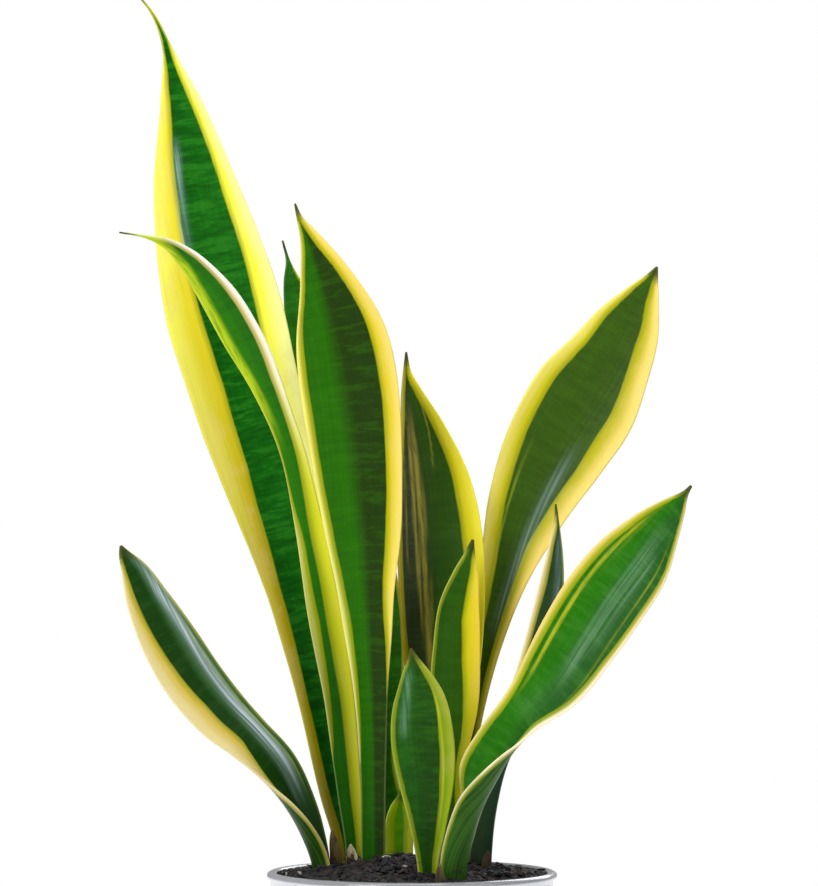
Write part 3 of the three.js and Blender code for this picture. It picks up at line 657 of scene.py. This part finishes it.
class Shader:
    """A material's node tree, built by calls that return sockets."""

    def __init__(self, name):
        self.material = bpy.data.materials.new(name)
        self.material.use_nodes = True
        self.tree = self.material.node_tree
        self.bsdf = self.tree.nodes["Principled BSDF"]

    def node(self, kind, inputs=(), **settings):
        made = self.tree.nodes.new(kind)
        for key, value in settings.items():
            setattr(made, key, value)
        for key, value in dict(inputs).items():
            self.put(made.inputs[key], value)
        return made

    def put(self, socket, value):
        if isinstance(value, bpy.types.NodeSocket):
            self.tree.links.new(value, socket)
        else:
            socket.default_value = value

    def attribute(self, name, vector=False):
        return self.node("ShaderNodeAttribute", attribute_name=name).outputs["Vector" if vector else "Fac"]

    def math(self, operation, a, b=0.0, c=0.0):
        made = self.node("ShaderNodeMath", operation=operation)
        for socket, value in zip(made.inputs, (a, b, c)):
            self.put(socket, value)
        return made.outputs[0]

    def ramp(self, value, low, high, out_low=0.0, out_high=1.0):
        return self.node(
            "ShaderNodeMapRange",
            {"Value": value, "From Min": low, "From Max": high, "To Min": out_low, "To Max": out_high},
            interpolation_type="SMOOTHSTEP",
        ).outputs["Result"]

    def mix(self, share, a, b, blend="MIX"):
        made = self.node("ShaderNodeMix", data_type="RGBA", blend_type=blend)
        self.put(made.inputs[0], share)
        self.put(made.inputs[6], a)
        self.put(made.inputs[7], b)
        return made.outputs[2]

    def scaled(self, vector, scale):
        return self.node(
            "ShaderNodeMapping", {"Vector": vector, "Scale": scale}, vector_type="POINT"
        ).outputs["Vector"]

    def noise(self, vector, scale=(1, 1, 1), detail=2.0, roughness=0.5, distortion=0.0):
        return self.node(
            "ShaderNodeTexNoise",
            {
                "Vector": self.scaled(vector, scale),
                "Scale": 1.0,
                "Detail": detail,
                "Roughness": roughness,
                "Distortion": distortion,
            },
        ).outputs["Fac"]

    def bump(self, height, strength, distance, normal=None):
        inputs = {"Height": height, "Strength": strength, "Distance": distance}
        if normal is not None:
            inputs["Normal"] = normal
        return self.node("ShaderNodeBump", inputs).outputs["Normal"]

    def finish(self, colour, roughness, normal=None, **fixed):
        self.put(self.bsdf.inputs["Base Color"], colour)
        self.put(self.bsdf.inputs["Roughness"], roughness)
        if normal is not None:
            self.put(self.bsdf.inputs["Normal"], normal)
        for key, value in fixed.items():
            self.bsdf.inputs[key.replace("_", " ")].default_value = value
        return self.material


# ---------------------------------------------------------------- materials
def leaf_material(name, look):
    s = Shader(name)
    place = s.attribute("place", vector=True)
    across = s.attribute("across")
    edge = s.attribute("edge")
    tip = s.attribute("tip")
    height = s.attribute("height")
    upper = s.attribute("upper")
    green_mm = s.attribute("green")
    stripe = s.attribute("stripe")
    bloom_and_sheen = s.attribute("bloom_and_sheen")

    coarse = s.noise(place, (30, 170, 1), 3, 0.6, 0.5)
    fine = s.noise(place, (110, 460, 1), 3, 0.6)
    threads = s.noise(place, (1500, 22, 1), 2, 0.6)
    veins = s.noise(place, (560, 7, 1), 2, 0.5)
    slow = s.noise(place, (34, 18, 1), 2, 0.5)
    blotch = s.noise(place, (60, 44, 1), 3, 0.6)

    # the green: two tones side by side, the darker one painted shade of the folded blade's half turned from
    # the light, crossed by jagged lighter and darker bands
    shade_left, shade_right, _, softness = look["shade"]
    wander = s.math("MULTIPLY_ADD", s.math("SUBTRACT", slow, 0.5), 0.12, s.attribute("split"))
    right_share = s.ramp(wander, -softness / 2, softness / 2)
    green = s.mix(right_share, linear(shade_left), linear(shade_right))
    band = s.math("MULTIPLY_ADD", fine, 0.4, s.math("MULTIPLY", coarse, 0.7))
    strength = look["bands"]
    green = s.mix(s.ramp(band, 0.54, 0.66, 0.0, strength), green, linear(look["light"]))
    darker = s.mix(1.0, green, (0.4, 0.5, 0.55, 1), "MULTIPLY")
    green = s.mix(s.ramp(band, 0.54, 0.44, 0.0, strength), green, darker)
    lit = s.mix(1.0, green, (1.35, 1.3, 1.2, 1), "MULTIPLY")
    green = s.mix(s.ramp(veins, 0.4, 0.75, 0.0, 0.3), green, lit)
    dim = s.mix(1.0, green, (0.6, 0.7, 0.7, 1), "MULTIPLY")
    green = s.mix(s.ramp(threads, 0.3, 0.55, 0.22, 0.0), green, dim)

    # the yellow margins, pale at the edge and deeper inwards, blotched and threaded with green
    high, low = look["high"], look["low"]
    risen = s.ramp(height, *look["turnover"])
    left_out, left_in, right_out, right_in = (
        s.mix(risen, linear(low[k]), linear(high[k])) for k in range(4)
    )
    is_right = s.ramp(across, -0.05, 0.05)
    outer = s.mix(is_right, left_out, right_out)
    inner = s.mix(is_right, left_in, right_in)
    depth = s.math("DIVIDE", edge, s.math("SUBTRACT", edge, s.math("MINIMUM", green_mm, -0.2)))
    depth = s.math("MULTIPLY_ADD", s.math("SUBTRACT", slow, 0.5), 0.4, depth)
    yellow = s.mix(s.ramp(depth, 0.1, 0.85), outer, inner)
    yellow = s.mix(s.ramp(veins, 0.5, 0.8, 0.0, 0.25), yellow, inner)
    faded = s.math("MULTIPLY", s.ramp(blotch, 0.46, 0.64), look["mottle"])
    yellow = s.mix(faded, yellow, s.mix(0.4, yellow, linear((228, 200, 124))))
    green_threads = s.math("MULTIPLY", s.ramp(threads, 0.58, 0.7), s.ramp(depth, 0.3, 1.0, 0.0, 0.4))
    yellow = s.mix(green_threads, yellow, linear((150, 172, 14)))

    # where green meets yellow: a soft boundary drawn out along the threads, with an olive fringe
    wobble = s.math("MULTIPLY_ADD", s.math("SUBTRACT", threads, 0.5), 1.2, green_mm)
    wobble = s.math("MULTIPLY_ADD", s.math("SUBTRACT", slow, 0.5), 1.6, wobble)
    inside = s.ramp(wobble, -0.6, 0.9)
    colour = s.mix(inside, yellow, green)
    fringe = s.math("MULTIPLY", s.ramp(wobble, -3.8, -0.2), s.ramp(wobble, 1.0, 0.1))
    colour = s.mix(s.math("MULTIPLY", fringe, 0.6), colour, linear((136, 146, 6)))

    # both darken towards the base: painted shade where the leaves crowd together
    dark_below, full_above, green_share, yellow_share = look.get("base_shade", USUAL_BASE_SHADE)
    share = s.mix(inside, (yellow_share,) * 3 + (1,), (green_share,) * 3 + (1,))
    share = s.mix(s.ramp(height, dark_below, full_above), share, (1, 1, 1, 1))
    colour = s.mix(1.0, colour, share, "MULTIPLY")

    # pale lengthwise stripes, broken up
    broken = s.ramp(s.noise(place, (500, 60, 1), 2, 0.6), 0.32, 0.56, 0.5, 1.0)
    colour = s.mix(s.math("MULTIPLY", stripe, broken), colour, linear(look.get("stripe", USUAL_STRIPE)))

    # the outer side of a leaf is plainer and darker, with more lengthwise lines
    outer_green = s.mix(s.ramp(veins, 0.3, 0.7), linear((24, 58, 8)), linear((56, 98, 22)))
    outer_share = s.math("MULTIPLY", s.ramp(upper, 0.9, 0.1), s.math("MULTIPLY", inside, 0.8))
    colour = s.mix(outer_share, colour, outer_green)

    # a painted sheen of highlights, partly a waxy bloom, that turns the green silvery in lengthwise streaks
    bloom_and_sheen = s.math("MULTIPLY", bloom_and_sheen, s.ramp(veins, 0.34, 0.6, 0.3, 1.0))
    bloom_and_sheen = s.math("MULTIPLY", bloom_and_sheen, s.ramp(threads, 0.3, 0.6, 0.65, 1.0))
    bloom_and_sheen = s.math("MULTIPLY", bloom_and_sheen, upper)
    colour = s.mix(bloom_and_sheen, colour, linear(look.get("bloom_and_sheen", USUAL_BLOOM_AND_SHEEN)))

    # a thin pale edge, a dark dry tip, and crumbs of soil at the foot
    colour = s.mix(s.ramp(edge, 0.5, 0.1, 0.0, 0.15), colour, linear((226, 214, 160)))
    dry = s.ramp(s.math("MULTIPLY_ADD", s.math("SUBTRACT", fine, 0.5), 6, tip), 13, 3, 0.0, 0.9)
    colour = s.mix(dry, colour, linear((52, 66, 22)))
    colour = s.mix(s.ramp(tip, 3, 0.5, 0.0, 0.7), colour, linear((84, 66, 34)))
    crumbs = s.math("MULTIPLY", s.ramp(height, 14, 4), s.ramp(fine, 0.5, 0.6, 0.0, 0.6))
    colour = s.mix(crumbs, colour, linear((40, 34, 30)))
    dust = s.ramp(s.noise(place, (400, 400, 1), 4, 0.7), 0.64, 0.8, 0.0, 0.08)
    colour = s.mix(dust, colour, linear((190, 190, 160)))

    rough = s.ramp(s.noise(place, (60, 40, 1), 3, 0.6), 0.3, 0.7, 0.34, 0.48)
    rough = s.math("ADD", rough, s.math("MULTIPLY", dry, 0.3))
    normal = s.bump(veins, 0.35, 0.0006)
    normal = s.bump(threads, 0.2, 0.0002, normal)
    normal = s.bump(coarse, 0.1, 0.0006, normal)
    return s.finish(colour, rough, normal, Specular_IOR_Level=0.1)


def sheath_material(name, dark, pale):
    s = Shader(name)
    place = s.attribute("place", vector=True)
    fibres = s.noise(place, (1800, 30, 1), 3, 0.7)
    blotches = s.noise(place, (200, 120, 1), 3, 0.6)
    colour = s.mix(s.ramp(fibres, 0.3, 0.7), linear(dark), linear(pale))
    colour = s.mix(s.ramp(blotches, 0.45, 0.65), colour, linear((74, 56, 34)))
    colour = s.mix(s.ramp(s.attribute("height"), 8, 0, 0.0, 0.6), colour, linear((40, 30, 24)))
    normal = s.bump(fibres, 0.6, 0.0004)
    return s.finish(colour, s.ramp(fibres, 0.3, 0.7, 0.65, 0.85), normal)


def object_place(s):
    return s.node("ShaderNodeTexCoord").outputs["Object"]


def soil_material():
    s = Shader("potting_mix")
    place = object_place(s)
    grain = s.noise(place, (900, 900, 900), 4, 0.7)
    clumps = s.noise(place, (160, 160, 160), 3, 0.6)
    colour = s.mix(s.ramp(clumps, 0.35, 0.7), linear((10, 8, 11)), linear((34, 29, 32)))
    colour = s.mix(s.ramp(grain, 0.55, 0.75, 0.0, 0.7), colour, linear((58, 50, 48)))
    fibres = s.noise(place, (2200, 300, 700), 2, 0.6)
    colour = s.mix(s.ramp(fibres, 0.68, 0.74, 0.0, 0.5), colour, linear((84, 72, 62)))
    rough = s.ramp(clumps, 0.3, 0.7, 0.6, 0.95)
    normal = s.bump(grain, 0.9, 0.0012)
    normal = s.bump(s.noise(place, (2600, 2600, 2600), 3, 0.7), 0.5, 0.0004, normal)
    return s.finish(colour, rough, normal, Specular_IOR_Level=0.4)


def chip_material():
    s = Shader("bark_and_chips")
    place = object_place(s)
    kind = s.attribute("kind")
    fibres = s.noise(place, (420, 1500, 900), 3, 0.7)
    dark = s.mix(s.ramp(fibres, 0.3, 0.7), linear((10, 8, 11)), linear((32, 27, 31)))
    brown = s.mix(s.ramp(fibres, 0.3, 0.7), linear((26, 20, 20)), linear((56, 45, 42)))
    pale = s.mix(s.ramp(fibres, 0.3, 0.7), linear((120, 112, 104)), linear((190, 186, 178)))
    colour = s.mix(s.ramp(kind, 0.74, 0.76), dark, brown)
    colour = s.mix(s.ramp(kind, 0.988, 0.99), colour, pale)
    normal = s.bump(fibres, 0.6, 0.0006)
    return s.finish(colour, s.ramp(fibres, 0.3, 0.7, 0.6, 0.9), normal, Specular_IOR_Level=0.4)


def rhizome_material():
    s = Shader("rhizome_skin")
    place = object_place(s)
    rings = s.noise(place, (60, 60, 260), 3, 0.6, 0.4)
    spots = s.noise(place, (500, 500, 500), 3, 0.6)
    colour = s.mix(s.ramp(rings, 0.35, 0.65), linear((214, 150, 84)), linear((238, 196, 132)))
    colour = s.mix(s.ramp(spots, 0.55, 0.7, 0.0, 0.6), colour, linear((134, 84, 48)))
    normal = s.bump(rings, 0.5, 0.001)
    return s.finish(colour, s.ramp(spots, 0.3, 0.7, 0.5, 0.75), normal)


def pot_material():
    s = Shader("white_glaze")
    place = object_place(s)
    slow = s.noise(place, (18, 18, 18), 3, 0.5)
    specks = s.noise(place, (700, 700, 700), 2, 0.6)
    colour = s.mix(s.ramp(slow, 0.3, 0.7), linear((206, 210, 216)), linear((216, 218, 222)))
    colour = s.mix(s.ramp(specks, 0.7, 0.78, 0.0, 0.25), colour, linear((196, 194, 190)))
    axes = s.node("ShaderNodeSeparateXYZ", {"Vector": place}).outputs
    height = axes["Z"]
    x_squared, y_squared = (s.math("MULTIPLY", axes[k], axes[k]) for k in "XY")
    radius = s.math("POWER", s.math("ADD", x_squared, y_squared), 0.5)
    # the rim is painted grey, standing in for the dark reflection and shade on its lip, and the wall inside
    # it, just above the mix, is darker
    top, inner = POT_HEIGHT * MM, INNER_TOP_RADIUS * MM
    # painted grey on the rim: the dark reflection and shade on its lip
    colour = s.mix(s.ramp(height, top - 0.0036, top - 0.0022, 0.0, 0.8), colour, linear((114, 113, 120)))
    # the wall inside the rim, just above the mix, is darker
    near_top = s.ramp(height, top - 0.016, top - 0.012)
    wall_darkening = s.math("MULTIPLY", s.ramp(radius, inner + 0.0007, inner), near_top)
    wall_dark_colour = s.mix(s.ramp(specks, 0.3, 0.7), linear((60, 56, 66)), linear((120, 118, 126)))
    colour = s.mix(s.math("MULTIPLY", wall_darkening, 0.9), colour, wall_dark_colour)
    dust = s.math("MULTIPLY", s.ramp(height, 0.012, 0.0), s.ramp(specks, 0.35, 0.6, 0.1, 0.4))
    colour = s.mix(dust, colour, linear((196, 190, 180)))
    ripple = s.noise(place, (30, 30, 90), 2, 0.5)
    normal = s.bump(ripple, 0.08, 0.0015)
    normal = s.bump(specks, 0.05, 0.0002, normal)
    rough = s.ramp(slow, 0.3, 0.7, 0.16, 0.26)
    return s.finish(colour, rough, normal, Specular_IOR_Level=0.5, Coat_Weight=0.3)


# ---------------------------------------------------------------- pieces
def grow_leaves():
    for number, (name, rows) in enumerate(LEAVES.items()):
        look = LOOKS[name]
        blade = grow_blade("looks_" + name, rows, LEAF_FORM, look, seed=number + 1)
        blade.data.materials.append(leaf_material("skin_" + name, look))
        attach(blade, "root")
        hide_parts(name)


# The dark and the pale of each sheath's fibres.
SHEATH_TINTS = {
    "sheath_left": ((84, 62, 30), (132, 116, 66)),
    "sheath_inner": ((150, 138, 100), (214, 206, 176)),
    "sheath_right": ((40, 30, 24), (84, 66, 48)),
    "sheath_front": ((70, 62, 30), (120, 112, 56)),
}


def grow_sheaths():
    for number, (name, rows) in enumerate(SHEATHS.items()):
        blade = grow_blade("looks_" + name, rows, SHEATH_FORM, along=60, across=20, seed=number + 31)
        blade.data.materials.append(sheath_material("dry_" + name, *SHEATH_TINTS[name]))
        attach(blade, "root")
        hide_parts(name)


def soil_height(x, y):
    """The mix's surface above the base plane, without chips."""
    share = np.minimum(1, np.hypot(x, y) / SOIL_RADIUS)
    mound = POT_HEIGHT - SOIL_BELOW_RIM + SOIL_MOUND * (1 + np.cos(np.pi * share)) / 2
    rough = (
        1.5 * noise(x / 13, y / 13, 3)
        + 1.0 * noise(x / 5.2, y / 5.2, 4)
        + 0.7 * noise(x / 2.4, y / 2.4, 5)
        + 0.35 * noise(x / 1.1, y / 1.1, 6)
    )
    rough = rough * (0.35 + 0.65 * smoothstep(1 - share, 0, 0.12))
    return mound + rough - 0.7


def lathe(name, rings, size, ends):
    """A closed mesh from rings of points, each end a fan to one point."""
    points = np.vstack([np.array(rings).reshape(-1, 3), *ends])
    return make_mesh(name, points, tube_faces(len(rings), size))


def make_soil():
    turns = 480
    angles = np.linspace(0, 2 * np.pi, turns, endpoint=False)
    bottom = POT_FLOOR + GAP
    side_foot, side_low = INNER_FOOT_RADIUS - GAP, bottom + FOOT_ROUND
    profile = [(8, bottom), (side_foot - FOOT_ROUND, bottom), (side_foot, side_low)]
    for share in np.linspace(0.1, 1, 24):
        profile.append(
            (side_foot + (SOIL_RADIUS - side_foot) * share, side_low + (WALL_TOP - side_low) * share)
        )
    rings = []
    for radius, height in profile:
        x, y = radius * np.cos(angles), radius * np.sin(angles)
        rings.append(np.stack([x, y, np.full_like(x, height)], -1))
    for radius in np.linspace(SOIL_RADIUS, 0.6, 170):
        x, y = radius * np.cos(angles), radius * np.sin(angles)
        rings.append(np.stack([x, y, soil_height(x, y)], -1))
    soil = lathe("looks_soil", rings, turns, [[0, 0, bottom], [0, 0, soil_height(0.0, 0.0)]])
    soil.data.materials.append(soil_material())
    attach(soil, "root")
    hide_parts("soil")


# A chip before it is stretched: a cube with a peak on each side. SIDES has each peak's number and corners.
CUBE = [[a, b, c] for a in (-1, 1) for b in (-1, 1) for c in (-1, 1)]
PEAKS = [[0, 0, 1.5], [0, 0, -1.5], [1.5, 0, 0], [-1.5, 0, 0], [0, 1.5, 0], [0, -1.5, 0]]
SIDES = [
    (2, [4, 6, 7, 5]),
    (3, [0, 1, 3, 2]),
    (4, [2, 3, 7, 6]),
    (5, [0, 4, 5, 1]),
    (0, [1, 5, 7, 3]),
    (1, [0, 2, 6, 4]),
]


def turned(points, angle, matrix):
    """The points turned by matrix, which takes the angle's cosine and sine."""
    return points @ np.array(matrix(math.cos(angle), math.sin(angle)))


def make_chips():
    """Loose chips and crumbs that lie on the mix."""
    dice = random.Random(11)
    shape = np.array(CUBE + PEAKS, float)
    corners, faces, kinds = [], [], []
    for number in range(CHIPS):
        radius = (SOIL_RADIUS - 1.5) * math.sqrt(dice.random())
        angle = dice.random() * 2 * math.pi
        x, y = radius * math.cos(angle), radius * math.sin(angle)
        size = 0.35 + 1.5 * dice.random() ** 3
        stretch = np.array([size * (1 + 1.2 * dice.random()), size, size * (0.4 + 0.4 * dice.random())])
        uneven = 0.75 + 0.5 * np.array([[dice.random() for _ in range(3)] for _ in shape])
        own = shape * uneven * stretch
        turn, tilt = dice.random() * 2 * math.pi, (dice.random() - 0.5) * 1.2
        own = turned(own, tilt, lambda c, k: [[c, 0, -k], [0, 1, 0], [k, 0, c]])
        own = turned(own, turn, lambda c, k: [[c, k, 0], [-k, c, 0], [0, 0, 1]])
        top = float(soil_height(np.array(x), np.array(y)))
        own += [x, y, top + 0.25 * size]
        corners.append(own)
        kinds += [dice.random()] * len(shape)
        start = number * len(shape)
        for peak, ring in SIDES:
            for i in range(4):
                faces.append([start + len(CUBE) + peak, start + ring[i], start + ring[(i + 1) % 4]])
    chips = make_mesh("looks_soil_chips", np.vstack(corners), faces, {"kind": kinds}, smooth_shaded=False)
    chips.data.materials.append(chip_material())
    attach(chips, "root")


def make_pot():
    bend = POT_FOOT_RADIUS - FOOT_ROUND
    profile = [(3.0, 0.0), (bend, 0.0)]
    for angle in np.linspace(0, math.pi / 2, 8)[1:]:
        profile.append((bend + FOOT_ROUND * math.sin(angle), FOOT_ROUND - FOOT_ROUND * math.cos(angle)))
    neck = WALL_TOP - 1.2
    for share in np.linspace(0.04, 1, 24):
        bow = 0.1 * math.sin(math.pi * share)
        radius = POT_FOOT_RADIUS + (WALL_RADIUS - POT_FOOT_RADIUS) * share + bow
        profile.append((radius, FOOT_ROUND + (neck - FOOT_ROUND) * share))
    profile.append((WALL_RADIUS + 0.25, WALL_TOP - 0.5))
    profile.append((POT_RIM_RADIUS - 1.0, WALL_TOP + 0.15))
    profile.append((POT_RIM_RADIUS - 0.3, WALL_TOP + 0.7))
    middle, half = (POT_RIM_RADIUS + INNER_TOP_RADIUS) / 2, (POT_RIM_RADIUS - INNER_TOP_RADIUS) / 2
    for angle in np.linspace(0, math.pi, 22):
        height = POT_HEIGHT - RIM_ROLL + RIM_ROLL * math.sin(angle)
        profile.append((middle + half * math.cos(angle), height))
    low = POT_FLOOR + FOOT_ROUND
    for share in np.linspace(0, 1, 14):
        radius = INNER_TOP_RADIUS + (INNER_FOOT_RADIUS - INNER_TOP_RADIUS) * share
        profile.append((radius, WALL_TOP + (low - WALL_TOP) * share))
    profile += [(INNER_FOOT_RADIUS - FOOT_ROUND, POT_FLOOR), (3.0, POT_FLOOR)]
    turns = 256
    angles = np.linspace(0, 2 * np.pi, turns, endpoint=False)
    rings = [np.stack([r * np.cos(angles), r * np.sin(angles), np.full(turns, h)], -1) for r, h in profile]
    pot = lathe("looks_pot", rings, turns, [[0, 0, 0], [0, 0, POT_FLOOR]])
    pot.data.materials.append(pot_material())
    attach(pot, "root")
    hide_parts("pot")


def dress_rhizome():
    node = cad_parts["rhizome"]
    skin = rhizome_material()
    if node.material_slots:
        for slot in node.material_slots:
            slot.material = skin
    else:
        node.data.materials.append(skin)


# ---------------------------------------------------------------- camera, floor and light
def make_camera():
    """Level with the middle of the plant, far back, as a long lens sees it."""
    data = bpy.data.cameras.new("camera")
    data.sensor_width = SENSOR
    data.lens = SENSOR * CAMERA_DISTANCE / VIEW_WIDTH
    data.clip_end = 50
    camera = bpy.data.objects.new("camera", data)
    camera.location = (CAMERA_X, -CAMERA_DISTANCE, POT_HEIGHT * MM + CAMERA_ABOVE_RIM)
    camera.rotation_euler = (math.pi / 2, 0, 0)
    bpy.context.scene.collection.objects.link(camera)
    bpy.context.scene.camera = camera


def make_floor():
    """A round pale floor that fades into the white behind it."""
    turns = 96
    rings = np.linspace(0.04, 1.35, 24)
    angles = np.linspace(0, 2 * math.pi, turns, endpoint=False)
    points = [(r * math.cos(a), r * math.sin(a), 0.0) for r in rings for a in angles]
    points.append((0, 0, 0))
    faces = []
    for k in range(len(rings) - 1):
        for i in range(turns):
            j = (i + 1) % turns
            faces.append([k * turns + i, (k + 1) * turns + i, (k + 1) * turns + j, k * turns + j])
    for i in range(turns):
        faces.append([len(points) - 1, i, (i + 1) % turns])
    mesh = bpy.data.meshes.new("floor")
    mesh.from_pydata(points, [], faces)
    floor = bpy.data.objects.new("floor", mesh)
    bpy.context.scene.collection.objects.link(floor)
    s = Shader("floor_paper")
    place = object_place(s)
    fibre = s.noise(place, (300, 300, 300), 3, 0.6)
    colour = s.mix(s.ramp(fibre, 0.3, 0.7), linear((236, 236, 236)), linear((244, 244, 244)))
    away = s.node("ShaderNodeVectorMath", {0: place}, operation="LENGTH").outputs["Value"]
    s.put(s.bsdf.inputs["Emission Color"], (1, 1, 1, 1))
    faded = s.ramp(away, 0.35, 1.2)
    s.put(s.bsdf.inputs["Emission Strength"], faded)
    fading = s.mix(faded, colour, (0, 0, 0, 1))
    floor.data.materials.append(s.finish(fading, 0.9, None, Specular_IOR_Level=0.0))


def make_light(name, place, aim, size, power):
    data = bpy.data.lights.new(name, "AREA")
    data.shape = "RECTANGLE"
    data.size, data.size_y = size
    data.energy = power
    light = bpy.data.objects.new(name, data)
    light.location = place
    light.rotation_mode = "QUATERNION"
    light.rotation_quaternion = (Vector(aim) - Vector(place)).to_track_quat("-Z", "Y")
    bpy.context.scene.collection.objects.link(light)


def make_lights():
    make_light("key", (-1.3, -1.5, 1.5), (0, 0, 0.35), (1.0, 1.4), 36)
    make_light("fill", (1.6, -1.3, 0.8), (0, 0, 0.35), (1.2, 1.2), 9)
    make_light("top", (0.1, 0.2, 2.0), (0, 0, 0.3), (1.2, 1.2), 18)
    make_light("back", (0.8, 1.6, 1.2), (0, 0, 0.4), (1.2, 1.0), 14)
    world = bpy.data.worlds.new("studio")
    world.use_nodes = True
    tree = world.node_tree
    back = tree.nodes["Background"]
    seen = tree.nodes.new("ShaderNodeBackground")
    seen.inputs["Color"].default_value = (1, 1, 1, 1)
    seen.inputs["Strength"].default_value = 1.0
    back.inputs["Color"].default_value = (1, 1, 1, 1)
    back.inputs["Strength"].default_value = 0.42
    rays = tree.nodes.new("ShaderNodeLightPath")
    mixer = tree.nodes.new("ShaderNodeMixShader")
    tree.links.new(rays.outputs["Is Camera Ray"], mixer.inputs[0])
    tree.links.new(back.outputs[0], mixer.inputs[1])
    tree.links.new(seen.outputs[0], mixer.inputs[2])
    tree.links.new(mixer.outputs[0], tree.nodes["World Output"].inputs[0])
    bpy.context.scene.world = world
    bpy.context.scene.view_settings.view_transform = "Standard"


make_camera()
make_floor()
make_lights()
make_pot()
make_soil()
make_chips()
dress_rhizome()
grow_sheaths()
grow_leaves()
